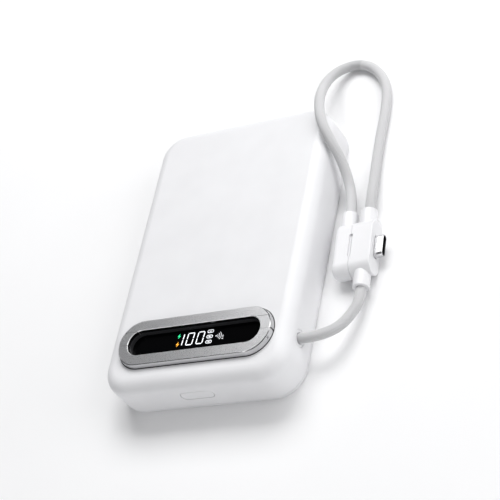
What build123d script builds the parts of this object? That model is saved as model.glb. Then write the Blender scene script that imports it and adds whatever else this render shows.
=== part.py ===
"""Magnetic power bank: a slab case with a charge display, a fold-out stand round the display,
a push button, a wireless charging face and a built-in cable whose plug parks in a keeper.

The case lies on its magnetic face. +X is the cable side, +Y runs towards the top edge, +Z is the
normal of the display face. The origin is the centre of the magnetic face. All sizes in mm.
"""

import os
from math import cos, pi, radians, sin, tan

from build123d import *

os.makedirs("parts", exist_ok=True)

# Case
WIDTH, LENGTH, THICK = 70.0, 107.0, 16.0
CORNER_R = 10.0  # corners seen from the front
FRONT_EDGE_R = 4.5  # roll of the front face into the side walls
WALL = 1.8
COVER_T = 1.7  # back cover plate
COVER_GAP = 0.25  # shadow line between the cover and the housing
COVER_INSET = 0.1
COVER_EDGE_R = 1.3
LIP_H, LIP_T, LIP_CLEAR = 1.8, 1.2, 0.1
SPLIT_Z = COVER_T + COVER_GAP
CAVITY_TOP = THICK - WALL
CAVITY_EDGE_R = 1.5

# Ring round the display: upper half fixed, lower half the stand
RING_Y = -37.0
RING_LEN, RING_R = 59.0, 8.8  # overall length and end radius at the foot
RING_WIDTH = 4.1
RING_FOOT_Z, RING_TOP_Z = 16.2, 18.05
RING_DRAFT = 12.0  # lean of the outer wall, degrees
RING_OUTER_CHAMFER, RING_INNER_CHAMFER = 0.25, 0.2
RING_H = RING_TOP_Z - RING_FOOT_Z
CUT_FRAME_Y = RING_Y + 4.3  # joint between the fixed frame and the hinge blocks
CUT_GAP = 0.12
BLOCK_END_Y = RING_Y - 0.45  # lower end of the hinge blocks
SWEEP_R = 1.36  # hollow in the blocks that the arms' ends turn in
LEG_END_Y = RING_Y - 0.55  # upper end of the stand's arms
LEG_END_R = 0.85

# Stand hinge
PIVOT_Y, PIVOT_Z = RING_Y - 1.45, (RING_FOOT_Z + RING_TOP_Z) / 2
PIN_R, PIN_CLEAR = 0.30, 0.06
PIN_X0, PIN_X1 = 25.7, 28.9
LUG_X, LUG_W, LUG_R = 27.4, 1.6, 0.5
LUG_SIDE_CLEAR = 0.3
LEG_SKIN = 0.3  # metal left over the lug
FOOT_Y0, FOOT_Y1, FOOT_Z = RING_Y - 2.0, RING_Y + 4.1, 15.4

# Display
BEZEL_R, BEZEL_LEN, BEZEL_TOP_Z, BEZEL_LEDGE_Z = 9.0, 59.4, 16.1, 15.3
TUB_R, TUB_BOTTOM_Z = 7.5, 12.6
LINER_R, LINER_T, LINER_TOP_Z = 4.35, 0.2, 16.75  # black wall inside the ring
WINDOW_R, WINDOW_Z0, WINDOW_Z1 = 4.32, 14.6, 15.4
CENTRES = RING_LEN - 2 * RING_R  # distance between the end centres of every stadium here
APERTURE = (36.0, 8.0)
MODULE_Z0, MODULE_Z1 = 12.7, 14.5
BOARD_Z0 = 11.7
TILE_T = 0.04
DIGIT_H, DIGIT_W, STROKE, SLANT = 4.7, 2.7, 0.34, tan(radians(5))
DIGIT_PITCH, DIGIT_X0, DIGIT_Y = 3.95, -2.5, 0.68
PILL_X, PILL_SIZE, PILL_YS = 5.0, (2.4, 1.25), (2.68, 0.68, -1.25)
BOLT_X, BOLT_YS, BOLT_H = -7.1, (2.2, -0.9), 1.9
WAVE_X, WAVE_Y = 7.5, 0.6

# Button in the bottom wall
BUTTON_Z, BUTTON_LEN, BUTTON_H = 8.3, 12.3, 4.0
BUTTON_GAP, BUTTON_TRAVEL = 0.2, 0.4
FLANGE_T, FLANGE_OVER = 0.75, 1.0
NUB_LEN, NUB = 0.55, (3.0, 2.0)

# Main board and what stands on it
PCB_Z0, PCB_Z1 = 5.0, 6.0
PCB_Y0, PCB_Y1, PCB_W = -49.6, -25.2, 62.0
SCREW_XY = [(28.3, -47.3), (28.3, -27.2), (-28.3, -47.3), (-28.3, -27.2)]
BOSS_R, PILOT_R, SCREW_HEAD_R = 1.9, 0.6, 1.2
SWITCH_Y0, SWITCH_Y1, SWITCH_W = -49.4, -46.0, 6.0
PLUNGER = (2.6, 1.4)

# Standard C-type port in the left wall, and plug on the cable
PORT_Y, PORT_W, PORT_H, PORT_DEPTH, SHELL_T = -37.0, 8.94, 3.26, 7.3, 0.35
PORT_Z = PCB_Z1 + PORT_H / 2
PLUG_W, PLUG_H, PLUG_LEN = 8.34, 2.56, 6.65

# Cells
CELL_W, CELL_Y0, CELL_Y1, CELL_Z0, CELL_Z1, CELL_GAP = 31.0, -22.5, 48.0, 4.6, 13.2, 0.4

# Magnetic charging face
COIL_Y = 12.0
MAGNET_R0, MAGNET_R1, MAGNETS = 23.2, 27.6, 18
COIL_R0, COIL_R1, TURNS = 10.0, 21.5, 8
PAD_R0, PAD_R1, PAD_T, PAD_RECESS = 22.5, 27.5, 0.5, 0.05
POCKET_R, POCKET_Z = 28.2, 1.2

# Cable
CORD_D = 3.6
EXIT_Y, EXIT_Z = -37.0, 9.0
GLAND_R, GLAND_FLANGE_R, GLAND_FLANGE_T, MOUTH_R, MOUTH_DEPTH = 3.0, 3.6, 1.0, 1.95, 0.5

# Keeper and plug body: one flat capsule, split across, lying on the surface beside the case
TILT = radians(3)
CAPSULE_H, CAPSULE_T = 20.8, 7.5
KEEPER_W, PLUG_BODY_W, SEAM = 7.5, 6.5, 0.12
CAPSULE = Plane(origin=(46.4, -2.4, CAPSULE_T / 2), x_dir=(cos(TILT), sin(TILT), 0), z_dir=(0, 0, 1))
ACROSS = Plane(origin=CAPSULE.origin, x_dir=CAPSULE.y_dir, z_dir=CAPSULE.x_dir)
OUTWARD = Axis(CAPSULE.origin, CAPSULE.x_dir)
NOSE_W, NOSE_H, NOSE_LEN, NOSE_CLEAR = 9.9, 4.1, 3.85, 0.25
PLUG_CLEAR = 0.15
PLUG_TIP = NOSE_LEN + PLUG_LEN
NOTCH_W, NOTCH_LEN, NOTCH_DEPTH = 1.3, 8.9, 0.6
COLLAR_R, COLLAR_END = 2.8, 15.2
KEEPER_COLLAR_X, PLUG_COLLAR_X = 3.75, -3.25


def save(piece, name):
    """Labels a finished sub-part and writes it."""
    piece.part.label = name
    export_step(piece.part, f"parts/{name}.step")


def level(z, y=0.0):
    """Horizontal sketch plane at height z, centred on x = 0 and the given y."""
    return Plane(origin=(0, y, z))


def stadium(radius):
    """A capsule outline concentric with the display, end radius given."""
    SlotOverall(CENTRES + 2 * radius, 2 * radius)


def bottom_wall(y):
    """Sketch plane parallel to the bottom wall at y, at the button's centre, facing outwards."""
    return Plane(origin=(0, y, BUTTON_Z), x_dir=(1, 0, 0), z_dir=(0, -1, 0))


def wall_plane(x, y, z, side):
    """Sketch plane on a side wall; side is +1 for the right wall and -1 for the left one."""
    return Plane(origin=(x, y, z), x_dir=(0, side, 0), z_dir=(side, 0, 0))


# ---------------------------------------------------------------- case

with BuildPart() as front_housing:
    with BuildSketch(level(SPLIT_Z)):
        RectangleRounded(WIDTH, LENGTH, CORNER_R)
    extrude(amount=THICK - SPLIT_Z)
    fillet(front_housing.faces().sort_by(Axis.Z)[-1].edges(), FRONT_EDGE_R)
    with BuildSketch(level(SPLIT_Z)):
        RectangleRounded(WIDTH - 2 * WALL, LENGTH - 2 * WALL, CORNER_R - WALL)
    extrude(amount=CAVITY_TOP - SPLIT_Z, mode=Mode.SUBTRACT)
    fillet(front_housing.faces().filter_by(Plane.XY).group_by(Axis.Z)[-2].edges(), CAVITY_EDGE_R)
    # screw bosses for the main board
    with BuildSketch(level(PCB_Z1)):
        with Locations(*SCREW_XY):
            Circle(BOSS_R)
    extrude(amount=CAVITY_TOP - PCB_Z1 + 0.4)
    with BuildSketch(level(PCB_Z1)):
        with Locations(*SCREW_XY):
            Circle(PILOT_R)
    extrude(amount=5.0, mode=Mode.SUBTRACT)
    # display opening: a ledge for the bezel flange and a way through for its tub
    with BuildSketch(level(BEZEL_LEDGE_Z, RING_Y)):
        stadium(BEZEL_R + 0.05)
    extrude(amount=THICK, mode=Mode.SUBTRACT)
    with BuildSketch(level(SPLIT_Z, RING_Y)):
        stadium(TUB_R + 0.05)
    extrude(amount=THICK, mode=Mode.SUBTRACT)
    # button slot
    with BuildSketch(bottom_wall(-LENGTH / 2 - 1)):
        SlotOverall(BUTTON_LEN + 2 * BUTTON_GAP, BUTTON_H + 2 * BUTTON_GAP)
    extrude(amount=-(WALL + 2), mode=Mode.SUBTRACT)
    # hole for the cable gland
    with BuildSketch(wall_plane(WIDTH / 2 + 1, EXIT_Y, EXIT_Z, 1)):
        Circle(GLAND_R + 0.03)
    extrude(amount=-(WALL + 2), mode=Mode.SUBTRACT)
    # opening for the charging port
    with BuildSketch(wall_plane(-WIDTH / 2 - 1, PORT_Y, PORT_Z, -1)):
        SlotOverall(PORT_W + 0.4, PORT_H + 0.4)
    extrude(amount=-(WALL + 2), mode=Mode.SUBTRACT)
save(front_housing, "front_housing")

with BuildPart() as back_cover:
    with BuildSketch():
        RectangleRounded(WIDTH - 2 * COVER_INSET, LENGTH - 2 * COVER_INSET, CORNER_R - COVER_INSET)
    extrude(amount=COVER_T)
    fillet(back_cover.faces().sort_by(Axis.Z)[0].edges(), COVER_EDGE_R)
    with BuildSketch(level(COVER_T)):
        lip = WALL + LIP_CLEAR
        RectangleRounded(WIDTH - 2 * lip, LENGTH - 2 * lip, CORNER_R - lip)
        lip += LIP_T
        RectangleRounded(WIDTH - 2 * lip, LENGTH - 2 * lip, CORNER_R - lip, mode=Mode.SUBTRACT)
    extrude(amount=LIP_H)
    # pocket that locates the coil and the magnets
    with BuildSketch(level(POCKET_Z, COIL_Y)):
        Circle(POCKET_R)
    extrude(amount=COVER_T - POCKET_Z, mode=Mode.SUBTRACT)
    # groove for the grip ring
    with BuildSketch(level(0, COIL_Y)):
        Circle(PAD_R1)
        Circle(PAD_R0, mode=Mode.SUBTRACT)
    extrude(amount=PAD_T, mode=Mode.SUBTRACT)
save(back_cover, "back_cover")

with BuildPart() as grip_ring:
    with BuildSketch(level(PAD_RECESS, COIL_Y)):
        Circle(PAD_R1)
        Circle(PAD_R0, mode=Mode.SUBTRACT)
    extrude(amount=PAD_T - PAD_RECESS)
save(grip_ring, "grip_ring")

# ---------------------------------------------------------------- display

with BuildPart() as display_bezel:
    with BuildSketch(level(BEZEL_LEDGE_Z, RING_Y)):
        stadium(BEZEL_R)
    extrude(amount=BEZEL_TOP_Z - BEZEL_LEDGE_Z)
    with BuildSketch(level(TUB_BOTTOM_Z, RING_Y)):
        stadium(TUB_R)
    extrude(amount=BEZEL_LEDGE_Z - TUB_BOTTOM_Z)
    with BuildSketch(level(BEZEL_TOP_Z, RING_Y)):
        stadium(LINER_R + LINER_T)
    extrude(amount=LINER_TOP_Z - BEZEL_TOP_Z)
    with BuildSketch(level(WINDOW_Z0, RING_Y)):
        stadium(LINER_R)
    extrude(amount=THICK, mode=Mode.SUBTRACT)
    with BuildSketch(level(TUB_BOTTOM_Z, RING_Y)):
        Rectangle(*APERTURE)
    extrude(amount=THICK, mode=Mode.SUBTRACT)
    # slots for the feet of the hinge blocks
    foot_centre = (FOOT_Y0 + FOOT_Y1) / 2
    with BuildSketch(level(FOOT_Z - 0.05, foot_centre)):
        with Locations((LUG_X, 0), (-LUG_X, 0)):
            Rectangle(LUG_W + 0.1, FOOT_Y1 - FOOT_Y0 + 0.1)
    extrude(amount=THICK, mode=Mode.SUBTRACT)
save(display_bezel, "display_bezel")

with BuildPart() as display_window:
    with BuildSketch(level(WINDOW_Z0, RING_Y)):
        stadium(WINDOW_R)
    extrude(amount=WINDOW_Z1 - WINDOW_Z0)
    chamfer(display_window.faces().sort_by(Axis.Z)[-1].edges(), 0.12)
save(display_window, "display_window")

with BuildPart() as display_module:
    with BuildSketch(level(MODULE_Z0, RING_Y)):
        RectangleRounded(APERTURE[0] - 0.2, APERTURE[1] - 0.2, 0.5)
    extrude(amount=MODULE_Z1 - MODULE_Z0)
save(display_module, "display_module")

with BuildPart() as display_board:
    with BuildSketch(level(BOARD_Z0, RING_Y)):
        RectangleRounded(46.0, 12.0, 1.0)
    extrude(amount=0.8)
save(display_board, "display_board")

with BuildPart() as display_flex:
    with BuildSketch(level(PCB_Z1, RING_Y + 4.5)):
        with Locations((-16.0, 0)):
            Rectangle(10.0, 0.3)
    extrude(amount=BOARD_Z0 - PCB_Z1)
save(display_flex, "display_flex")


def stroke(x, y, long, upright):
    """One bar of a seven-bar digit, with pointed ends, leaning by SLANT."""
    a, b = long / 2, STROKE / 2
    outline = [(-a, 0), (b - a, b), (a - b, b), (a, 0), (a - b, -b), (b - a, -b)]
    if upright:
        outline = [(-v, u) for u, v in outline]
    Polygon(*[(x + u + SLANT * (y + v - DIGIT_Y), y + v) for u, v in outline], align=None)


def digit(x, bars):
    """A seven-bar digit centred on x; bars is any of a, b, c, d, e, f, g."""
    half_w, quarter = DIGIT_W / 2 - STROKE / 2, (DIGIT_H - STROKE) / 4
    wide, tall = DIGIT_W - STROKE - 0.15, 2 * quarter - 0.15
    middle = DIGIT_Y
    places = {
        "a": (x, middle + 2 * quarter, wide, False),
        "g": (x, middle, wide, False),
        "d": (x, middle - 2 * quarter, wide, False),
        "f": (x - half_w, middle + quarter, tall, True),
        "b": (x + half_w, middle + quarter, tall, True),
        "e": (x - half_w, middle - quarter, tall, True),
        "c": (x + half_w, middle - quarter, tall, True),
    }
    for bar in bars:
        stroke(*places[bar])


with BuildPart() as digit_tiles:
    with BuildSketch(level(WINDOW_Z1, RING_Y)):
        digit(DIGIT_X0 - DIGIT_PITCH, "bc")
        digit(DIGIT_X0, "abcdef")
        digit(DIGIT_X0 + DIGIT_PITCH, "abcdef")
    extrude(amount=TILE_T)
save(digit_tiles, "digit_tiles")

with BuildPart() as status_tiles:
    with BuildSketch(level(WINDOW_Z1, RING_Y)):
        for pill_y in PILL_YS:
            with Locations((PILL_X, pill_y)):
                SlotOverall(*PILL_SIZE)
                SlotOverall(PILL_SIZE[0] - 0.5, PILL_SIZE[1] - 0.5, mode=Mode.SUBTRACT)
                Rectangle(0.9, 0.28)
        # wireless output: a dot with three arcs, and a short bar beside it
        with Locations((WAVE_X, WAVE_Y)):
            Circle(0.22)
            for step in range(1, 4):
                with BuildLine():
                    CenterArc((WAVE_X, WAVE_Y), 0.62 * step + 0.08, -42, 84)
                    offset(amount=0.07)
                make_face()
        # and a row of small dashes beside it
        with Locations((WAVE_X + 2.6, WAVE_Y - 0.7)):
            with GridLocations(0.6, 0.6, 1, 3):
                Rectangle(0.6, 0.16)
    extrude(amount=TILE_T)
save(status_tiles, "status_tiles")


def bolt_tile(y):
    """A small lightning bolt."""
    half = BOLT_H / 2
    points = [(0.28, half), (-0.62, -0.12), (-0.08, -0.12), (-0.28, -half), (0.62, 0.12), (0.08, 0.12)]
    with BuildPart() as tile:
        with BuildSketch(level(WINDOW_Z1, RING_Y)):
            Polygon(*[(BOLT_X + u, y + v) for u, v in points], align=None)
        extrude(amount=TILE_T)
    return tile


save(bolt_tile(BOLT_YS[0]), "input_bolt_tile")
save(bolt_tile(BOLT_YS[1]), "output_bolt_tile")

# ---------------------------------------------------------------- ring and stand


def full_ring():
    """The whole metal ring, added to the current part."""
    with BuildSketch(level(RING_FOOT_Z, RING_Y)) as outside:
        stadium(RING_R)
    ring = extrude(outside.sketch, amount=RING_H, taper=RING_DRAFT)
    top = ring.faces().sort_by(Axis.Z)[-1]
    chamfer(top.outer_wire().edges(), RING_OUTER_CHAMFER)
    with BuildSketch(level(RING_FOOT_Z, RING_Y)) as opening:
        SlotOverall(RING_LEN - 2 * RING_WIDTH, 2 * (RING_R - RING_WIDTH))
    extrude(opening.sketch, amount=RING_H, mode=Mode.SUBTRACT)


def cut_at(y, keep):
    """Cuts the current part across at y."""
    split(bisect_by=Plane(origin=(0, y, 0), z_dir=(0, 1, 0)), keep=keep)


with BuildPart() as ring_frame:
    full_ring()
    rim = ring_frame.faces().sort_by(Axis.Z)[-1].inner_wires()[0]
    chamfer(rim.edges(), RING_INNER_CHAMFER)
    cut_at(CUT_FRAME_Y + CUT_GAP, Keep.TOP)
save(ring_frame, "ring_frame")


def hinge_block(side):
    """Fixed piece of ring between frame and stand, with a foot in the bezel and a lug for the pin."""
    with BuildPart() as block:
        full_ring()
        rim = block.faces().sort_by(Axis.Z)[-1].inner_wires()[0]
        chamfer(rim.edges(), RING_INNER_CHAMFER)
        cut_at(CUT_FRAME_Y, Keep.BOTTOM)
        cut_at(BLOCK_END_Y, Keep.TOP)
        with BuildSketch(wall_plane(0, PIVOT_Y, PIVOT_Z, 1)):
            Circle(SWEEP_R)
        extrude(amount=RING_LEN, both=True, mode=Mode.SUBTRACT)
        split(bisect_by=Plane.YZ, keep=Keep.TOP if side > 0 else Keep.BOTTOM)
        with BuildSketch(level(FOOT_Z, (FOOT_Y0 + FOOT_Y1) / 2)):
            with Locations((side * LUG_X, 0)):
                Rectangle(LUG_W, FOOT_Y1 - FOOT_Y0)
        extrude(amount=BEZEL_TOP_Z - FOOT_Z)
        with BuildSketch(level(BEZEL_TOP_Z, (BLOCK_END_Y + FOOT_Y1) / 2)):
            with Locations((side * LUG_X, 0)):
                Rectangle(LUG_W, FOOT_Y1 - BLOCK_END_Y)
        extrude(amount=RING_FOOT_Z - BEZEL_TOP_Z)
        lug_plane = Plane(origin=(side * LUG_X - LUG_W / 2, PIVOT_Y, PIVOT_Z), x_dir=(0, 1, 0), z_dir=(1, 0, 0))
        drop = PIVOT_Z - BEZEL_TOP_Z
        with BuildSketch(lug_plane):
            Circle(LUG_R)
            with Locations((0, -drop / 2)):
                Rectangle(2 * LUG_R, drop)
        extrude(amount=LUG_W)
        with BuildSketch(lug_plane):
            Circle(PIN_R + PIN_CLEAR)
        extrude(amount=LUG_W, mode=Mode.SUBTRACT)
    return block


save(hinge_block(1), "hinge_block_right")
save(hinge_block(-1), "hinge_block_left")

with BuildPart() as stand_leg:
    full_ring()
    rim = stand_leg.faces().sort_by(Axis.Z)[-1].inner_wires()[0]
    chamfer(rim.edges(), RING_INNER_CHAMFER)
    cut_at(LEG_END_Y, Keep.BOTTOM)
    ends = stand_leg.edges().filter_by(Axis.X).group_by(Axis.Y)[-1]
    fillet(ends.group_by(Axis.Z)[0], LEG_END_R)
    # slots that clear the lugs, open below and at the end
    slot_y0 = PIVOT_Y - 1.0
    with BuildSketch(level(RING_FOOT_Z - 1, (slot_y0 + RING_Y) / 2)):
        with Locations((LUG_X, 0), (-LUG_X, 0)):
            Rectangle(LUG_W + 2 * LUG_SIDE_CLEAR, RING_Y - slot_y0)
    extrude(amount=RING_H - LEG_SKIN + 1, mode=Mode.SUBTRACT)
    for pin_side in (1, -1):
        with BuildSketch(wall_plane(pin_side * PIN_X0, PIVOT_Y, PIVOT_Z, pin_side)):
            Circle(PIN_R)
        extrude(amount=PIN_X1 - PIN_X0, mode=Mode.SUBTRACT)
    # lifting notch in the outer wall of the right arm
    with BuildSketch(wall_plane(RING_LEN / 2 + 1, RING_Y - 3.65, PIVOT_Z + 0.1, 1)):
        RectangleRounded(1.1, 0.8, 0.35)
    extrude(amount=-2.35, mode=Mode.SUBTRACT)
save(stand_leg, "stand_leg")

with BuildPart() as hinge_pins:
    for pin_side in (1, -1):
        with BuildSketch(wall_plane(pin_side * PIN_X0, PIVOT_Y, PIVOT_Z, pin_side)):
            Circle(PIN_R)
        extrude(amount=PIN_X1 - PIN_X0)
save(hinge_pins, "hinge_pins")

# ---------------------------------------------------------------- button and switch

with BuildPart() as power_button:
    with BuildSketch(bottom_wall(-LENGTH / 2)):
        SlotOverall(BUTTON_LEN, BUTTON_H)
    extrude(amount=-(WALL + 0.05))
    fillet(power_button.faces().sort_by(Axis.Y)[0].edges(), 0.15)
    with BuildSketch(bottom_wall(-LENGTH / 2 + WALL + 0.05)):
        SlotOverall(BUTTON_LEN + 2 * FLANGE_OVER, BUTTON_H + 2 * FLANGE_OVER)
    extrude(amount=-FLANGE_T)
    with BuildSketch(bottom_wall(-LENGTH / 2 + WALL + 0.05 + FLANGE_T)):
        Rectangle(*NUB)
    extrude(amount=-NUB_LEN)
save(power_button, "power_button")

PLUNGER_Y0 = -LENGTH / 2 + WALL + 0.05 + FLANGE_T + NUB_LEN
PLUNGER_Y1 = SWITCH_Y0 + 0.8
with BuildPart() as tact_switch:
    with BuildSketch(level(PCB_Z1, (SWITCH_Y0 + SWITCH_Y1) / 2)):
        Rectangle(SWITCH_W, SWITCH_Y1 - SWITCH_Y0)
    extrude(amount=3.9)
    fillet(tact_switch.edges().filter_by(Axis.Z), 0.3)
    with BuildSketch(bottom_wall(SWITCH_Y0 - 1)):
        Rectangle(PLUNGER[0] + 0.6, PLUNGER[1] + 0.6)
    extrude(amount=-(PLUNGER_Y1 + BUTTON_TRAVEL + 0.2 - SWITCH_Y0 + 1), mode=Mode.SUBTRACT)
save(tact_switch, "tact_switch")

with BuildPart() as switch_plunger:
    with BuildSketch(bottom_wall(PLUNGER_Y0)):
        RectangleRounded(*PLUNGER, 0.3)
    extrude(amount=-(PLUNGER_Y1 - PLUNGER_Y0))
save(switch_plunger, "switch_plunger")

# ---------------------------------------------------------------- main board

with BuildPart() as main_board:
    with BuildSketch(level(PCB_Z0, (PCB_Y0 + PCB_Y1) / 2)):
        RectangleRounded(PCB_W, PCB_Y1 - PCB_Y0, 3.0)
    extrude(amount=PCB_Z1 - PCB_Z0)
    with BuildSketch(level(PCB_Z0)):
        with Locations(*SCREW_XY):
            Circle(PILOT_R + 0.1)
    extrude(amount=PCB_Z1 - PCB_Z0, mode=Mode.SUBTRACT)
save(main_board, "main_board")

with BuildPart() as board_screws:
    with BuildSketch(level(PCB_Z0 - 0.8)):
        with Locations(*SCREW_XY):
            Circle(SCREW_HEAD_R)
    extrude(amount=0.8)
    with BuildSketch(level(PCB_Z0 - 0.8)):
        with Locations(*SCREW_XY):
            RegularPolygon(0.5, 6)
    extrude(amount=0.4, mode=Mode.SUBTRACT)
    with BuildSketch(level(PCB_Z0)):
        with Locations(*SCREW_XY):
            Circle(PILOT_R)
    extrude(amount=4.0)
save(board_screws, "board_screws")

with BuildPart() as control_chips:
    with BuildSketch(level(PCB_Z1)):
        for chip_x, chip_y, chip_side in [(12.0, -44.5, 5.0), (20.5, -31.5, 4.0), (-21.0, -47.0, 3.0)]:
            with Locations((chip_x, chip_y)):
                Rectangle(chip_side, chip_side)
    extrude(amount=0.8)
save(control_chips, "control_chips")

with BuildPart() as inductors:
    with BuildSketch(level(PCB_Z1)):
        with Locations((21.0, -43.0), (10.0, -30.5)):
            RectangleRounded(6.6, 6.6, 0.8)
    extrude(amount=3.0)
    with BuildSketch(level(PCB_Z1 + 2.7)):
        with Locations((21.0, -43.0), (10.0, -30.5)):
            Circle(2.6)
            Circle(2.2, mode=Mode.SUBTRACT)
    extrude(amount=1.0, mode=Mode.SUBTRACT)
save(inductors, "inductors")

with BuildPart() as capacitors:
    with BuildSketch(level(PCB_Z1)):
        with Locations((-10.0, -44.0)):
            with GridLocations(3.2, 2.6, 4, 2):
                Rectangle(2.0, 1.25)
        with Locations((0.0, -29.0)):
            with GridLocations(2.8, 2.4, 3, 2):
                Rectangle(1.6, 0.8)
    extrude(amount=1.2)
save(capacitors, "capacitors")

# ---------------------------------------------------------------- charging port

with BuildPart() as port_shell:
    with BuildSketch(wall_plane(-WIDTH / 2 + 0.3, PORT_Y, PORT_Z, -1)):
        SlotOverall(PORT_W, PORT_H)
    extrude(amount=-PORT_DEPTH)
    with BuildSketch(wall_plane(-WIDTH / 2 + 0.3, PORT_Y, PORT_Z, -1)):
        SlotOverall(PORT_W - 2 * SHELL_T, PORT_H - 2 * SHELL_T)
    extrude(amount=-(PORT_DEPTH - 0.8), mode=Mode.SUBTRACT)
save(port_shell, "port_shell")

with BuildPart() as port_tongue:
    with BuildSketch(wall_plane(-WIDTH / 2 + 1.0, PORT_Y, PORT_Z, -1)):
        RectangleRounded(6.69, 0.7, 0.2)
    extrude(amount=-(PORT_DEPTH - 0.8 - 0.7))
save(port_tongue, "port_tongue")

with BuildPart() as port_contacts:
    for contact_z in (PORT_Z + 0.35, PORT_Z - 0.35 - 0.04):
        with BuildSketch(level(contact_z, PORT_Y)):
            with Locations((-WIDTH / 2 + 3.4, 0)):
                with GridLocations(1.0, 0.5, 1, 12):
                    Rectangle(3.2, 0.25)
        extrude(amount=0.04)
save(port_contacts, "port_contacts")

# ---------------------------------------------------------------- cells

CELL_MIDDLE = (CELL_Y0 + CELL_Y1) / 2


def cell(side):
    """One pouch cell, with rounded long edges and a folded seam at its terminal end."""
    x = side * (CELL_GAP + CELL_W) / 2
    with BuildPart() as pouch:
        with BuildSketch(level(CELL_Z0, CELL_MIDDLE)):
            with Locations((x, 0)):
                Rectangle(CELL_W, CELL_Y1 - CELL_Y0)
        extrude(amount=CELL_Z1 - CELL_Z0)
        fillet(pouch.edges().filter_by(Axis.Y), 2.0)
        fillet(pouch.faces().filter_by(Plane.XZ).edges(), 0.8)
        with BuildSketch(level(CELL_Z0 + 3.9, CELL_Y0 - 0.6)):
            with Locations((x, 0)):
                Rectangle(CELL_W - 5, 1.6)
        extrude(amount=0.8)
    return pouch


save(cell(1), "cell_right")
save(cell(-1), "cell_left")

with BuildPart() as cell_tabs:
    tab_y = CELL_Y0 - 1.9
    with BuildSketch(level(CELL_Z0 + 4.1, tab_y)):
        for side in (1, -1):
            with Locations((side * 10.0, 0), (side * 21.0, 0)):
                Rectangle(4.0, 1.0)
    extrude(amount=0.3)
save(cell_tabs, "cell_tabs")

with BuildPart() as cell_foam:
    with BuildSketch(level(3.75, CELL_MIDDLE)):
        RectangleRounded(60.0, 66.0, 3.0)
    extrude(amount=0.75)
save(cell_foam, "cell_foam")

# ---------------------------------------------------------------- charging coil and magnets

with BuildPart() as magnet_ring:
    with BuildSketch(level(POCKET_Z, COIL_Y)):
        Circle(MAGNET_R1)
        Circle(MAGNET_R0, mode=Mode.SUBTRACT)
        with PolarLocations((MAGNET_R0 + MAGNET_R1) / 2, MAGNETS):
            Rectangle(MAGNET_R1 - MAGNET_R0 + 2, 0.4, mode=Mode.SUBTRACT)
    extrude(amount=1.9)
save(magnet_ring, "magnet_ring")

with BuildPart() as charging_coil:
    turn_w = (COIL_R1 - COIL_R0) / TURNS
    for turn in range(TURNS):
        with BuildSketch(level(POCKET_Z, COIL_Y)):
            Circle(COIL_R0 + (turn + 1) * turn_w - 0.2)
            Circle(COIL_R0 + turn * turn_w, mode=Mode.SUBTRACT)
        extrude(amount=1.1)
save(charging_coil, "charging_coil")

with BuildPart() as ferrite_sheet:
    with BuildSketch(level(POCKET_Z + 1.1, COIL_Y)):
        Circle(22.3)
    extrude(amount=0.6)
save(ferrite_sheet, "ferrite_sheet")

with BuildPart() as shield_plate:
    with BuildSketch(level(POCKET_Z + 1.95, COIL_Y)):
        Circle(MAGNET_R1)
        Rectangle(8.0, 30.0, align=(Align.CENTER, Align.MAX))
    extrude(amount=0.4)
save(shield_plate, "shield_plate")

# ---------------------------------------------------------------- cable


def arc_radii(route):
    """Radius at each inner point: 0.45 of the shorter run, over the tangent of half the turn."""
    points = [Vector(*p) for p in route]
    runs = [b - a for a, b in zip(points, points[1:])]
    pairs = zip(runs, runs[1:])
    return [0.45 * min(a.length, b.length) / tan(radians(a.get_angle(b)) / 2) for a, b in pairs]


def cord(name, route):
    """A round cord along straight runs joined by tangent arcs."""
    radii = arc_radii(route)
    with BuildPart() as tube:
        with BuildLine() as path:
            FilletPolyline(*route, radius=radii)
        with BuildSketch(Plane(origin=path.line @ 0, z_dir=path.line % 0)):
            Circle(CORD_D / 2)
        sweep()
    length = sum(edge.length for edge in path.edges())
    expected = pi * CORD_D**2 / 4 * length
    print(name, "length", round(length, 1), "radii", [round(r, 1) for r in radii])
    print(name, "volume over section times length", round(tube.part.volume / expected, 4))
    save(tube, name)


def on_capsule(x, y):
    """A point of the capsule's mid plane, from its own x and y, in the case's axes."""
    spot = CAPSULE.from_local_coords((x, y, 0))
    return (spot.X, spot.Y, spot.Z)


LOWER_ROUTE = [
    (WIDTH / 2 - MOUTH_DEPTH, EXIT_Y, EXIT_Z),
    (39.0, -37.0, 9.0),
    (43.9, -35.1, 7.6),
    (47.4, -31.6, 5.7),
    (49.7, -26.4, 4.3),
    on_capsule(KEEPER_COLLAR_X, -COLLAR_END - 4.4),
    on_capsule(KEEPER_COLLAR_X, -COLLAR_END),
]
LOOP_ROUTE = [
    on_capsule(PLUG_COLLAR_X, COLLAR_END),
    on_capsule(PLUG_COLLAR_X, COLLAR_END + 5.6),
    (40.5, 25.8, 5.2),
    (39.1, 31.5, 10.2),
    (37.9, 36.4, 17.2),
    (34.7, 42.8, 22.2),
    (30.9, 52.9, 20.8),
    (27.3, 62.0, 14.5),
    (23.1, 70.0, 7.2),
    (24.4, 77.3, 3.8),
    (29.8, 82.2, 1.8),
    (37.4, 83.3, 1.8),
    (44.1, 79.6, 1.8),
    (47.4, 72.4, 1.8),
    (48.0, 63.2, 1.8),
    (47.9, 53.2, 1.8),
    (47.5, 43.2, 1.8),
    (47.6, 33.6, 1.8),
    (48.5, 25.2, 2.5),
    on_capsule(KEEPER_COLLAR_X, COLLAR_END + 5.0),
    on_capsule(KEEPER_COLLAR_X, COLLAR_END),
]
cord("lower_cord", LOWER_ROUTE)
cord("loop_cord", LOOP_ROUTE)

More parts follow.
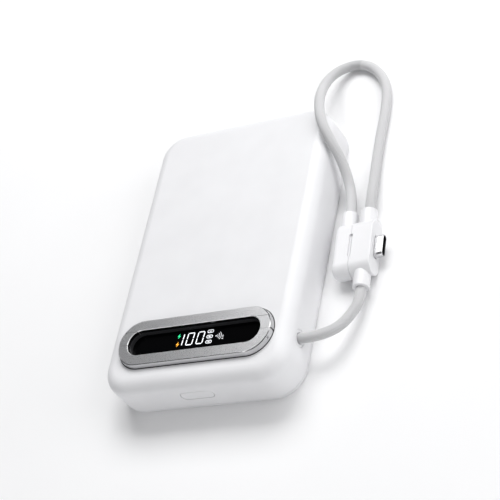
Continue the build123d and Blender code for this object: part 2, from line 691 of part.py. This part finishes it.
with BuildPart() as cord_gland:
    with BuildSketch(wall_plane(WIDTH / 2, EXIT_Y, EXIT_Z, 1)):
        Circle(GLAND_R)
    extrude(amount=-(WALL + 0.05))
    with BuildSketch(wall_plane(WIDTH / 2 - WALL - 0.05, EXIT_Y, EXIT_Z, 1)):
        Circle(GLAND_FLANGE_R)
    extrude(amount=-GLAND_FLANGE_T)
    with BuildSketch(wall_plane(WIDTH / 2, EXIT_Y, EXIT_Z, 1)):
        Circle(MOUTH_R)
    extrude(amount=-MOUTH_DEPTH, mode=Mode.SUBTRACT)
    chamfer(cord_gland.faces().sort_by(Axis.X)[-1].outer_wire().edges(), 0.15)
save(cord_gland, "cord_gland")

# ---------------------------------------------------------------- keeper and plug


def capsule_outline():
    """Cross-section of the capsule."""
    SlotOverall(CAPSULE_H, CAPSULE_T)


def finger_notch():
    """Cuts the shallow notch that spans the seam."""
    with BuildSketch(CAPSULE.offset(CAPSULE_T / 2 - NOTCH_DEPTH)) as notch:
        RectangleRounded(NOTCH_W, NOTCH_LEN, 0.3)
    extrude(notch.sketch, amount=2.0, mode=Mode.SUBTRACT)


with BuildPart() as keeper_housing:
    with BuildSketch(ACROSS.offset(SEAM / 2)):
        capsule_outline()
    extrude(amount=KEEPER_W - SEAM / 2)
    fillet(keeper_housing.faces().sort_by(OUTWARD)[-1].edges(), 0.35)
    with BuildSketch(ACROSS):
        SlotOverall(NOSE_W + 2 * NOSE_CLEAR, NOSE_H + 2 * NOSE_CLEAR)
    extrude(amount=NOSE_LEN + 0.15, mode=Mode.SUBTRACT)
    with BuildSketch(ACROSS):
        SlotOverall(PLUG_W + 2 * PLUG_CLEAR, PLUG_H + 2 * PLUG_CLEAR)
    extrude(amount=KEEPER_W + 1, mode=Mode.SUBTRACT)
    finger_notch()
save(keeper_housing, "keeper_housing")

with BuildPart() as plug_housing:
    with BuildSketch(ACROSS.offset(-PLUG_BODY_W)):
        capsule_outline()
    extrude(amount=PLUG_BODY_W - SEAM / 2)
    fillet(plug_housing.faces().sort_by(OUTWARD)[0].edges(), 1.8)
    finger_notch()
    with BuildSketch(ACROSS.offset(-2.5)):
        SlotOverall(PLUG_W, PLUG_H)
    extrude(amount=5, mode=Mode.SUBTRACT)
save(plug_housing, "plug_housing")


def collar(x, side):
    """Strain relief collar on the capsule's edge; side is +1 for the upper edge, -1 for the lower one."""
    spot = CAPSULE.from_local_coords((x, side * COLLAR_END, 0))
    outer = Plane(origin=spot, x_dir=CAPSULE.x_dir, z_dir=side * CAPSULE.y_dir)
    with BuildPart() as piece:
        with BuildSketch(outer):
            Circle(COLLAR_R)
        extrude(amount=-(COLLAR_END - CAPSULE_H / 2 + 2))
        fillet(piece.faces().sort_by(Axis(spot, side * CAPSULE.y_dir))[-1].edges(), 0.3)
        with BuildSketch(ACROSS.offset(-PLUG_BODY_W)):
            capsule_outline()
        extrude(amount=PLUG_BODY_W + KEEPER_W, mode=Mode.SUBTRACT)
    return piece


save(collar(KEEPER_COLLAR_X, 1), "keeper_collar_upper")
save(collar(KEEPER_COLLAR_X, -1), "keeper_collar_lower")
save(collar(PLUG_COLLAR_X, 1), "plug_collar")

with BuildPart() as plug_nose:
    with BuildSketch(ACROSS.offset(-SEAM / 2)):
        SlotOverall(NOSE_W, NOSE_H)
        SlotOverall(PLUG_W, PLUG_H, mode=Mode.SUBTRACT)
    extrude(amount=NOSE_LEN + SEAM / 2)
    fillet(plug_nose.faces().sort_by(OUTWARD)[-1].outer_wire().edges(), 0.3)
save(plug_nose, "plug_nose")

with BuildPart() as plug_shell:
    with BuildSketch(ACROSS.offset(-2.5)):
        SlotOverall(PLUG_W, PLUG_H)
        SlotOverall(PLUG_W - 0.6, PLUG_H - 0.6, mode=Mode.SUBTRACT)
    extrude(amount=PLUG_TIP + 2.5)
    fillet(plug_shell.faces().sort_by(OUTWARD)[-1].outer_wire().edges(), 0.12)
save(plug_shell, "plug_shell")

with BuildPart() as plug_insulator:
    with BuildSketch(ACROSS.offset(-2.5)):
        SlotOverall(PLUG_W - 0.62, PLUG_H - 0.62)
    extrude(amount=PLUG_TIP + 2.5 - 0.15)
    with BuildSketch(ACROSS.offset(PLUG_TIP - 0.15)):
        SlotOverall(PLUG_W - 1.4, 0.95)
    extrude(amount=-5.6, mode=Mode.SUBTRACT)
save(plug_insulator, "plug_insulator")

with BuildPart() as plug_contacts:
    for contact_z in (0.42, -0.46):
        with BuildSketch(CAPSULE.offset(contact_z)):
            with Locations((PLUG_TIP - 3.2, 0)):
                with GridLocations(1.0, 0.5, 1, 12):
                    Rectangle(3.6, 0.25)
        extrude(amount=0.04)
save(plug_contacts, "plug_contacts")
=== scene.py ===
"""Look of the power bank: materials, braided cable and studio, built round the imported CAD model."""

from math import pi

import bpy
import numpy as np
from mathutils import Matrix, Vector


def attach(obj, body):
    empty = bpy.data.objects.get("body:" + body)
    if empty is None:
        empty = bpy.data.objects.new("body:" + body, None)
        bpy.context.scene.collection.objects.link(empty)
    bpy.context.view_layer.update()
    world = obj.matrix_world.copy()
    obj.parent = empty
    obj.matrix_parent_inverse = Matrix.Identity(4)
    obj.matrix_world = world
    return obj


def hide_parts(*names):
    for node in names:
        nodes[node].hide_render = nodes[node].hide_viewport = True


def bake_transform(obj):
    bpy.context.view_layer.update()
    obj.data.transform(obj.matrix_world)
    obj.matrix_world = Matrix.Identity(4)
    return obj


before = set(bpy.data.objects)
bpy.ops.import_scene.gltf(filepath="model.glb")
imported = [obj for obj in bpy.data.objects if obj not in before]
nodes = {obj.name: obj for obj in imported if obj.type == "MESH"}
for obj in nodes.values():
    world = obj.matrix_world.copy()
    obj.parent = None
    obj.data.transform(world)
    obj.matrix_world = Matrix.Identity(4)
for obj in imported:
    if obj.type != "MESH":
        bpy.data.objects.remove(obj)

MM = 0.001
scene = bpy.context.scene
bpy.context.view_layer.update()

# ---------------------------------------------------------------- material helpers


class Build:
    """A material's node tree, with short calls for the nodes used here."""

    def __init__(self, name):
        self.material = bpy.data.materials.new(name)
        self.material.use_nodes = True
        self.tree = self.material.node_tree
        self.shader = self.tree.nodes["Principled BSDF"]
        self.place = self.tree.nodes.new("ShaderNodeTexCoord").outputs["Object"]

    def set(self, **values):
        """Constants on the shader, named as its sockets with _ for a space."""
        for name, value in values.items():
            self.shader.inputs[name.replace("_", " ")].default_value = value
        return self

    def link(self, output, name):
        self.tree.links.new(output, self.shader.inputs[name])
        return self

    def node(self, kind, inputs=(), **settings):
        made = self.tree.nodes.new(kind)
        for name, value in settings.items():
            setattr(made, name, value)
        for name, value in dict(inputs).items():
            if isinstance(value, bpy.types.NodeSocket):
                self.tree.links.new(value, made.inputs[name])
            else:
                made.inputs[name].default_value = value
        return made

    def noise(self, size_mm, detail=3.0, stretch=(1, 1, 1), rough=0.55):
        """Noise whose features are about size_mm across."""
        where = self.node("ShaderNodeMapping", {"Vector": self.place, "Scale": stretch})
        inputs = {"Vector": where.outputs[0], "Scale": 1 / (size_mm * MM)}
        inputs.update({"Detail": detail, "Roughness": rough})
        return self.node("ShaderNodeTexNoise", inputs).outputs["Fac"]

    def ramp(self, value, low, high, start=0.3, end=0.7):
        """Maps value from start..end to low..high."""
        inputs = {"Value": value, "From Min": start, "From Max": end, "To Min": low, "To Max": high}
        return self.node("ShaderNodeMapRange", inputs).outputs[0]

    def colours(self, value, first, second):
        """Blends two colours by value."""
        mixed = self.node("ShaderNodeMix", {"Factor": value}, data_type="RGBA")
        mixed.inputs[6].default_value = (*first, 1)
        mixed.inputs[7].default_value = (*second, 1)
        return mixed.outputs[2]

    def bump(self, value, depth_mm, strength=1.0):
        inputs = {"Height": value, "Distance": depth_mm * MM, "Strength": strength}
        return self.node("ShaderNodeBump", inputs).outputs[0]


def shade(base):
    """A colour a little darker than base, for uneven tone."""
    return tuple(c * 0.965 for c in base)


def moulded(name, base, rough, grain_mm, depth_mm, **extra):
    """Moulded plastic: faint uneven tone, fine spark-eroded grain, slightly varying gloss."""
    m = Build(name)
    tone = m.noise(14.0, 2.0)
    m.link(m.colours(m.ramp(tone, 0, 1), shade(base), base), "Base Color")
    m.link(m.ramp(m.noise(3.0, 4.0), rough - 0.03, rough + 0.04), "Roughness")
    m.link(m.bump(m.noise(grain_mm, 2.0), depth_mm), "Normal")
    return m.set(**extra).material


def metal(name, base, rough, stretch, grain_mm=0.12, depth_mm=0.0015, **extra):
    """Metal with fine lines or blasting, stretched along the direction in which stretch is small."""
    m = Build(name)
    m.set(Metallic=1.0, **extra)
    m.link(m.colours(m.ramp(m.noise(5.0, 3.0), 0, 1), shade(base), base), "Base Color")
    lines = m.noise(grain_mm, 3.0, stretch)
    m.link(m.ramp(lines, rough - 0.05, rough + 0.06), "Roughness")
    m.link(m.bump(lines, depth_mm), "Normal")
    return m.material


def lit(name, colour, strength):
    """A lit segment: even colour with a faint pixel structure."""
    m = Build(name)
    m.set(Roughness=0.4, Emission_Strength=strength)
    cells = m.node("ShaderNodeTexVoronoi", {"Vector": m.place, "Scale": 1 / (0.22 * MM)}).outputs["Distance"]
    tint = m.colours(m.ramp(cells, 0, 1, 0.0, 0.9), colour, tuple(c * 0.8 for c in colour))
    return m.link(tint, "Base Color").link(tint, "Emission Color").material


# ---------------------------------------------------------------- materials

# Ring outline: centre line, half the distance between its end centres, and its inner and outer radius
RING_Y, RING_HALF, RING_INNER, RING_OUTER = -37.0, 20.7, 4.7, 8.22
INNER_EDGE_HIGHLIGHT_WIDTH, FADE = 0.17, 0.05  # the width of the painted highlight on the inner edge, and how softly one zone meets the next


def ring_metal():
    """Blasted top; polished outer wall painted darker as painted shade; painted highlight on the inner edge;
    inner wall painted near black as a painted reflection of the black glass.
    """
    m = Build("ring_metal")
    m.set(Metallic=1.0)
    axes = m.node("ShaderNodeSeparateXYZ", {"Vector": m.place})
    sideways = m.node("ShaderNodeMath", {0: axes.outputs[0]}, operation="ABSOLUTE").outputs[0]
    beyond = m.node("ShaderNodeMath", {0: sideways, 1: RING_HALF * MM}, operation="SUBTRACT").outputs[0]
    beyond = m.node("ShaderNodeMath", {0: beyond, 1: 0.0}, operation="MAXIMUM").outputs[0]
    upward = m.node("ShaderNodeMath", {0: axes.outputs[1], 1: -RING_Y * MM}, operation="ADD").outputs[0]
    flat = m.node("ShaderNodeCombineXYZ", {0: beyond, 1: upward})
    radius = m.node("ShaderNodeVectorMath", {0: flat.outputs[0]}, operation="LENGTH").outputs["Value"]
    outside = m.ramp(radius, 0, 1, (RING_INNER + 0.01) * MM, (RING_INNER + 0.01 + FADE) * MM)
    painted_highlight_edge = m.ramp(radius, 1, 0, (RING_INNER + INNER_EDGE_HIGHLIGHT_WIDTH) * MM, (RING_INNER + INNER_EDGE_HIGHLIGHT_WIDTH + FADE) * MM)
    wall = m.ramp(radius, 0, 1, (RING_OUTER - 0.02) * MM, (RING_OUTER + 0.02) * MM)
    grain = m.noise(0.10, 3.0)
    cloud = m.ramp(m.noise(9.0, 3.0), 0.97, 1.0)
    edge_highlight_and_wall_shade = m.node("ShaderNodeMix", {"Factor": wall}, data_type="RGBA")
    # painted highlight: the inner edge band is painted brighter (0.95) than the blasted top (0.80)
    m.tree.links.new(m.colours(painted_highlight_edge, (0.80, 0.80, 0.81), (0.95, 0.95, 0.955)), edge_highlight_and_wall_shade.inputs[6])
    # painted shade: the polished outer wall is painted darker (0.58) than the top
    edge_highlight_and_wall_shade.inputs[7].default_value = (0.58, 0.58, 0.59, 1)
    # painted reflection: the inner wall is painted near black (0.16), standing in for the black glass that
    # its polished metal reflects
    inner_wall_painted_reflection = m.node("ShaderNodeMix", {"Factor": outside}, data_type="RGBA")
    inner_wall_painted_reflection.inputs[6].default_value = (0.16, 0.16, 0.165, 1)
    m.tree.links.new(edge_highlight_and_wall_shade.outputs[2], inner_wall_painted_reflection.inputs[7])
    toned = m.node("ShaderNodeMix", {"Factor": 1.0}, data_type="RGBA", blend_type="MULTIPLY")
    m.tree.links.new(inner_wall_painted_reflection.outputs[2], toned.inputs[6])
    m.tree.links.new(m.colours(cloud, (0, 0, 0), (1, 1, 1)), toned.inputs[7])
    m.link(toned.outputs[2], "Base Color")
    rough = m.ramp(grain, 0.26, 0.33)
    for where, value in ((wall, 0.16), (painted_highlight_edge, 0.50)):
        step = m.node("ShaderNodeMix", {"Factor": where, 3: value}, data_type="FLOAT")
        m.tree.links.new(rough, step.inputs[2])
        rough = step.outputs[0]
    last = m.node("ShaderNodeMix", {"Factor": outside, 2: 0.12}, data_type="FLOAT")
    m.tree.links.new(rough, last.inputs[3])
    m.link(last.outputs[0], "Roughness")
    m.link(m.bump(grain, 0.0004), "Normal")
    return m.material


def lens():
    """Deep black gloss with the faintest haze."""
    m = Build("lens")
    m.set(Base_Color=(0.0012, 0.0012, 0.0015, 1), Specular_IOR_Level=0.06)
    m.link(m.ramp(m.noise(11.0, 4.0), 0.03, 0.09), "Roughness")
    return m.material


def board_green():
    """Solder mask with copper fields showing through as a paler grid."""
    m = Build("board_green")
    inputs = {"Vector": m.place, "Scale": 1 / (3.1 * MM), "Randomness": 0.35}
    fields = m.node("ShaderNodeTexVoronoi", inputs, distance="CHEBYCHEV", feature="F1").outputs["Distance"]
    m.link(m.colours(m.ramp(fields, 0, 1, 0.30, 0.42), (0.02, 0.13, 0.06), (0.01, 0.07, 0.035)), "Base Color")
    return m.set(Roughness=0.32).link(m.bump(fields, 0.02), "Normal").material


def foil():
    """Crinkled foil laminate."""
    m = Build("foil")
    crinkle = m.noise(4.0, 6.0, rough=0.65)
    m.link(m.colours(m.ramp(crinkle, 0, 1), (0.50, 0.51, 0.53), (0.66, 0.67, 0.69)), "Base Color")
    return m.set(Metallic=1.0, Roughness=0.34).link(m.bump(crinkle, 0.12), "Normal").material


def woven(name, base):
    """Yarn of the braid: painted light on the crowns, painted shade in the gaps, fibres along each yarn."""
    m = Build(name)
    crown = m.node("ShaderNodeVertexColor", layer_name="crown").outputs["Color"]
    fibres = m.noise(0.16, 5.0, rough=0.7)
    # painted shade: the yarn colour falls to a third of the base in the gaps between yarns, and the crowns
    # keep the full base as painted light
    tone = m.colours(m.ramp(crown, 0, 1, 0.15, 0.80), tuple(c * 0.32 for c in base), base)
    m.link(tone, "Base Color").link(m.bump(fibres, 0.02), "Normal")
    m.link(m.ramp(fibres, 0.62, 0.80), "Roughness")
    return m.set(Sheen_Weight=0.25, Sheen_Roughness=0.45, Specular_IOR_Level=0.3).material


WHITE = (0.83, 0.83, 0.845)
case_white = moulded("case_white", WHITE, 0.40, 0.22, 0.006, Specular_IOR_Level=0.42)
cover_white = moulded("cover_white", (0.80, 0.80, 0.815), 0.44, 0.28, 0.008)
button_white = moulded("button_white", WHITE, 0.34, 0.22, 0.004)
plug_white = moulded("plug_white", (0.81, 0.81, 0.825), 0.36, 0.20, 0.004)
grip_grey = moulded("grip_grey", (0.52, 0.52, 0.535), 0.72, 0.30, 0.020)
bezel_black = moulded("bezel_black", (0.035, 0.035, 0.038), 0.20, 0.20, 0.002)
plain_black = moulded("plain_black", (0.006, 0.006, 0.0065), 0.42, 0.20, 0.006, Specular_IOR_Level=0.2)
chip_black = moulded("chip_black", (0.020, 0.020, 0.022), 0.55, 0.15, 0.010)
foam_black = moulded("foam_black", (0.030, 0.030, 0.031), 0.90, 0.60, 0.150)
ferrite_grey = moulded("ferrite_grey", (0.045, 0.045, 0.048), 0.60, 0.30, 0.010)
ceramic_tan = moulded("ceramic_tan", (0.42, 0.30, 0.19), 0.45, 0.20, 0.004)
flex_amber = moulded("flex_amber", (0.42, 0.19, 0.03), 0.35, 0.80, 0.004)
panel_dark = moulded("panel_dark", (0.015, 0.015, 0.018), 0.18, 0.40, 0.002)
shell_steel = metal("shell_steel", (0.66, 0.66, 0.67), 0.26, (1, 1, 1), 0.30, 0.00008)
socket_black = moulded("socket_black", (0.002, 0.002, 0.0022), 0.60, 0.20, 0.004, Specular_IOR_Level=0.1)
plain_steel = metal("plain_steel", (0.56, 0.56, 0.57), 0.30, (0.05, 1, 1))
nickel = metal("nickel", (0.66, 0.62, 0.55), 0.28, (0.1, 1, 1))
gold = metal("gold", (0.86, 0.60, 0.22), 0.22, (0.1, 1, 1))
copper = metal("copper", (0.72, 0.30, 0.14), 0.30, (1, 1, 1), 0.4, 0.004)
symbol_light = lit("symbol_light", (0.95, 0.97, 1.0), 0.55)
white_light = lit("white_light", (0.95, 0.97, 1.0), 0.85)
green_light = lit("green_light", (0.02, 0.75, 0.28), 1.1)
amber_light = lit("amber_light", (1.0, 0.42, 0.03), 1.1)
aluminium = ring_metal()
black_glass = lens()

LOOKS = {
    "front_housing": case_white,
    "back_cover": cover_white,
    "grip_ring": grip_grey,
    "display_bezel": bezel_black,
    "display_window": black_glass,
    "display_module": panel_dark,
    "display_board": board_green(),
    "display_flex": flex_amber,
    "digit_tiles": white_light,
    "status_tiles": symbol_light,
    "input_bolt_tile": green_light,
    "output_bolt_tile": amber_light,
    "ring_frame": aluminium,
    "hinge_block_right": aluminium,
    "hinge_block_left": aluminium,
    "stand_leg": aluminium,
    "hinge_pins": plain_steel,
    "power_button": button_white,
    "switch_plunger": plain_black,
    "tact_switch": plain_black,
    "main_board": board_green(),
    "board_screws": plain_steel,
    "control_chips": chip_black,
    "inductors": ferrite_grey,
    "capacitors": ceramic_tan,
    "cell_right": foil(),
    "cell_left": foil(),
    "cell_tabs": nickel,
    "cell_foam": foam_black,
    "magnet_ring": nickel,
    "charging_coil": copper,
    "ferrite_sheet": ferrite_grey,
    "shield_plate": plain_steel,
    "port_shell": shell_steel,
    "port_tongue": plain_black,
    "port_contacts": gold,
    "cord_gland": plug_white,
    "keeper_housing": plug_white,
    "keeper_collar_upper": plug_white,
    "keeper_collar_lower": plug_white,
    "plug_housing": plug_white,
    "plug_collar": plug_white,
    "plug_nose": plug_white,
    "plug_shell": shell_steel,
    "plug_insulator": socket_black,
    "plug_contacts": gold,
}
for node_name, look in LOOKS.items():
    slots = nodes[node_name].data.materials
    if not slots:
        slots.append(look)
    for index in range(len(slots)):
        slots[index] = look

# ---------------------------------------------------------------- braided cable

CORD_D = 3.6
YARNS = 18  # in each direction
YARN_PITCH = 0.62  # along the cord, per crossing
YARN_DEPTH = 0.12
AROUND, ALONG = 72, 0.155

LOWER_ROUTE = [
    (34.5, -37.0, 9.0),
    (39.0, -37.0, 9.0),
    (43.9, -35.1, 7.6),
    (47.4, -31.6, 5.7),
    (49.7, -26.4, 4.3),
    (51.18, -21.98, 3.75),
    (50.94, -17.38, 3.75),
]
KEEPER_SIDE_ROUTE = [
    (49.35, 12.98, 3.75),
    (49.08, 18.2, 3.75),
    (48.3, 25.4, 2.6),
    (47.6, 34.5, 1.8),
    (47.4, 45.5, 1.8),
    (47.7, 56.5, 1.8),
    (47.0, 67.5, 1.8),
    (43.3, 75.0, 1.8),
    (38.2, 80.0, 1.8),
    (35.2, 81.05, 1.8),
]
PLUG_SIDE_ROUTE = [
    (35.2, 81.05, 1.8),
    (32.2, 82.1, 1.8),
    (26.6, 79.2, 3.6),
    (25.0, 72.6, 7.0),
    (26.9, 63.9, 12.0),
    (30.4, 53.5, 17.9),
    (33.4, 43.3, 19.2),
    (36.7, 36.4, 15.4),
    (39.0, 31.5, 9.8),
    (40.4, 25.5, 5.0),
    (42.06, 18.2, 3.75),
    (42.36, 12.61, 3.75),
]


def smooth_line(name, route):
    """Points of the NURBS spline that has the route as its control points, in metres."""
    curve = bpy.data.curves.new(name, "CURVE")
    curve.dimensions = "3D"
    curve.resolution_u = 24
    spline = curve.splines.new("NURBS")
    spline.points.add(len(route) - 1)
    for point, spot in zip(spline.points, route):
        point.co = (*(MM * c for c in spot), 1)
    spline.order_u = 3
    spline.use_endpoint_u = True
    holder = bpy.data.objects.new(name, curve)
    mesh = bpy.data.meshes.new_from_object(holder)
    line = np.array([v.co for v in mesh.vertices])
    bpy.data.objects.remove(holder)
    bpy.data.meshes.remove(mesh)
    return line


def even_steps(line, step):
    """The same line with points at even distances, and the distance of each from the start."""
    lengths = np.r_[0, np.cumsum(np.linalg.norm(np.diff(line, axis=0), axis=1))]
    count = int(round(lengths[-1] / step))
    at = np.linspace(0, lengths[-1], count + 1)
    return np.stack([np.interp(at, lengths, line[:, k]) for k in range(3)], 1), at


def carried_frames(line):
    """Two unit vectors across the line at each point, carried along it without twist."""
    ahead = np.gradient(line, axis=0)
    ahead /= np.linalg.norm(ahead, axis=1)[:, None]
    side = np.cross(ahead[0], (0.0, 0.0, 1.0))
    side /= np.linalg.norm(side)
    sides = []
    for direction in ahead:
        side = side - direction * np.dot(side, direction)
        side /= np.linalg.norm(side)
        sides.append(side)
    sides = np.array(sides)
    return sides, np.cross(ahead, sides)


def braid_height(turn, along_mm):
    """Height of the braid, 0 to 1: diamonds where yarns cross, every other one leaning the other way."""
    first = YARNS * turn + along_mm / YARN_PITCH
    second = YARNS * turn - along_mm / YARN_PITCH
    swap = (np.floor(first) + np.floor(second)) % 2 > 0.5
    one, two = np.abs(np.sin(pi * first)), np.abs(np.sin(pi * second))
    across, length = np.where(swap, one, two), np.where(swap, two, one)
    return across**0.8 * length**0.35


def braided_cord(name, route, look):
    """A closed tube whose surface carries the braid, and the line that it follows."""
    path = smooth_line(name + "_line", route)
    line, at = even_steps(path, ALONG * MM)
    side, up = carried_frames(line)
    turn = np.arange(AROUND) / AROUND
    height = braid_height(turn[None, :], at[:, None] / MM)
    radius = (CORD_D / 2 - YARN_DEPTH + YARN_DEPTH * height) * MM
    angle = 2 * pi * turn
    ring = side[:, None] * np.cos(angle)[None, :, None] + up[:, None] * np.sin(angle)[None, :, None]
    verts = (line[:, None] + ring * radius[:, :, None]).reshape(-1, 3)
    rows = len(line)
    here = np.arange(rows - 1)[:, None] * AROUND + np.arange(AROUND)[None, :]
    beside = np.arange(rows - 1)[:, None] * AROUND + (np.arange(AROUND)[None, :] + 1) % AROUND
    quads = np.stack([here, beside, beside + AROUND, here + AROUND], 2).reshape(-1, 4)
    ends = [list(range(AROUND))[::-1], list(range((rows - 1) * AROUND, rows * AROUND))]
    mesh = bpy.data.meshes.new(name)
    mesh.from_pydata(verts.tolist(), [], quads.tolist() + ends)
    # the braid height, stored as the colour 'crown' that the yarn material turns into painted shade in the
    # gaps
    crown = mesh.color_attributes.new("crown", "FLOAT_COLOR", "POINT")
    shades = np.repeat(height.reshape(-1, 1), 4, 1)
    shades[:, 3] = 1
    crown.data.foreach_set("color", shades.ravel().astype(np.float32))
    mesh.materials.append(look)
    mesh.polygons.foreach_set("use_smooth", [True] * (len(quads)) + [False, False])
    mesh.update()
    obj = bpy.data.objects.new(name, mesh)
    scene.collection.objects.link(obj)
    return obj, path


braid_white = woven("braid_white", (0.80, 0.80, 0.81))


lower_braid, lower_line = braided_cord("lower_braid", LOWER_ROUTE, braid_white)
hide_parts("lower_cord")
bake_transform(lower_braid)

# the loop, in two halves that meet at its crown: the keeper side stays where it is built, the plug side is
# attached to the case
keeper_side, keeper_side_line = braided_cord("loop_braid_keeper_side", KEEPER_SIDE_ROUTE, braid_white)
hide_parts("loop_cord")
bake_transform(keeper_side)

plug_side, plug_side_line = braided_cord("loop_braid_plug_side", PLUG_SIDE_ROUTE, braid_white)
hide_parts("loop_cord")
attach(plug_side, "case")

# ---------------------------------------------------------------- studio


def floor():
    """Pale matt sheet with a barely visible tooth."""
    mesh = bpy.data.meshes.new("floor")
    half = 3.0
    corners = [(-half, -half, 0), (half, -half, 0), (half, half, 0), (-half, half, 0)]
    mesh.from_pydata(corners, [], [(0, 1, 2, 3)])
    m = Build("floor_paper")
    tone = m.ramp(m.noise(60.0, 3.0), 0, 1)
    m.link(m.colours(tone, (0.94, 0.94, 0.945), (0.955, 0.955, 0.96)), "Base Color")
    m.set(Roughness=0.85, Specular_IOR_Level=0.2).link(m.bump(m.noise(0.5, 2.0), 0.02), "Normal")
    mesh.materials.append(m.material)
    obj = bpy.data.objects.new("floor", mesh)
    scene.collection.objects.link(obj)


def softbox(name, place, size, power, aim=(0.01, 0.0, 0.01)):
    """A square soft light at place, facing aim."""
    data = bpy.data.lights.new(name, "AREA")
    data.shape = "RECTANGLE"
    data.size, data.size_y = size
    data.energy = power
    obj = bpy.data.objects.new(name, data)
    obj.location = place
    obj.rotation_euler = (Vector(aim) - Vector(place)).to_track_quat("-Z", "Y").to_euler()
    scene.collection.objects.link(obj)


floor()
softbox("key_light", (-0.03, 0.65, 0.75), (0.76, 0.5), 7.5)
softbox("back_right_light", (0.45, 0.50, 0.75), (0.6, 0.6), 2.35)
softbox("right_light", (0.90, 0.05, 0.45), (0.6, 0.6), 3.0)
softbox("front_right_light", (0.75, -0.75, 0.50), (0.6, 0.6), 1.5)
softbox("front_light", (-0.25, -0.90, 0.45), (0.6, 0.6), 2.3)

world = bpy.data.worlds.new("studio")
world.use_nodes = True
sky = world.node_tree
sky.nodes["Background"].inputs[0].default_value = (0.96, 0.97, 1.0, 1)
seen = sky.nodes.new("ShaderNodeLightPath").outputs["Is Camera Ray"]
strength = sky.nodes.new("ShaderNodeMapRange")
strength.inputs["To Min"].default_value = 0.15
strength.inputs["To Max"].default_value = 0.90
sky.links.new(seen, strength.inputs["Value"])
sky.links.new(strength.outputs[0], sky.nodes["Background"].inputs[1])
scene.world = world
scene.view_settings.view_transform = "Standard"

camera_data = bpy.data.cameras.new("camera")
camera_data.lens = 111.17
camera_data.clip_start, camera_data.clip_end = 0.01, 20
camera = bpy.data.objects.new("camera", camera_data)
right = Vector((0.854278, 0.179793, -0.487733))
up = Vector((0.134750, 0.829611, 0.541838))
back = Vector((0.502047, -0.528602, 0.684491))
turned = Matrix((right, up, back)).transposed().to_4x4()
camera.matrix_world = Matrix.Translation(Vector((0.269394, -0.273626, 0.364389))) @ turned
scene.collection.objects.link(camera)
scene.camera = camera
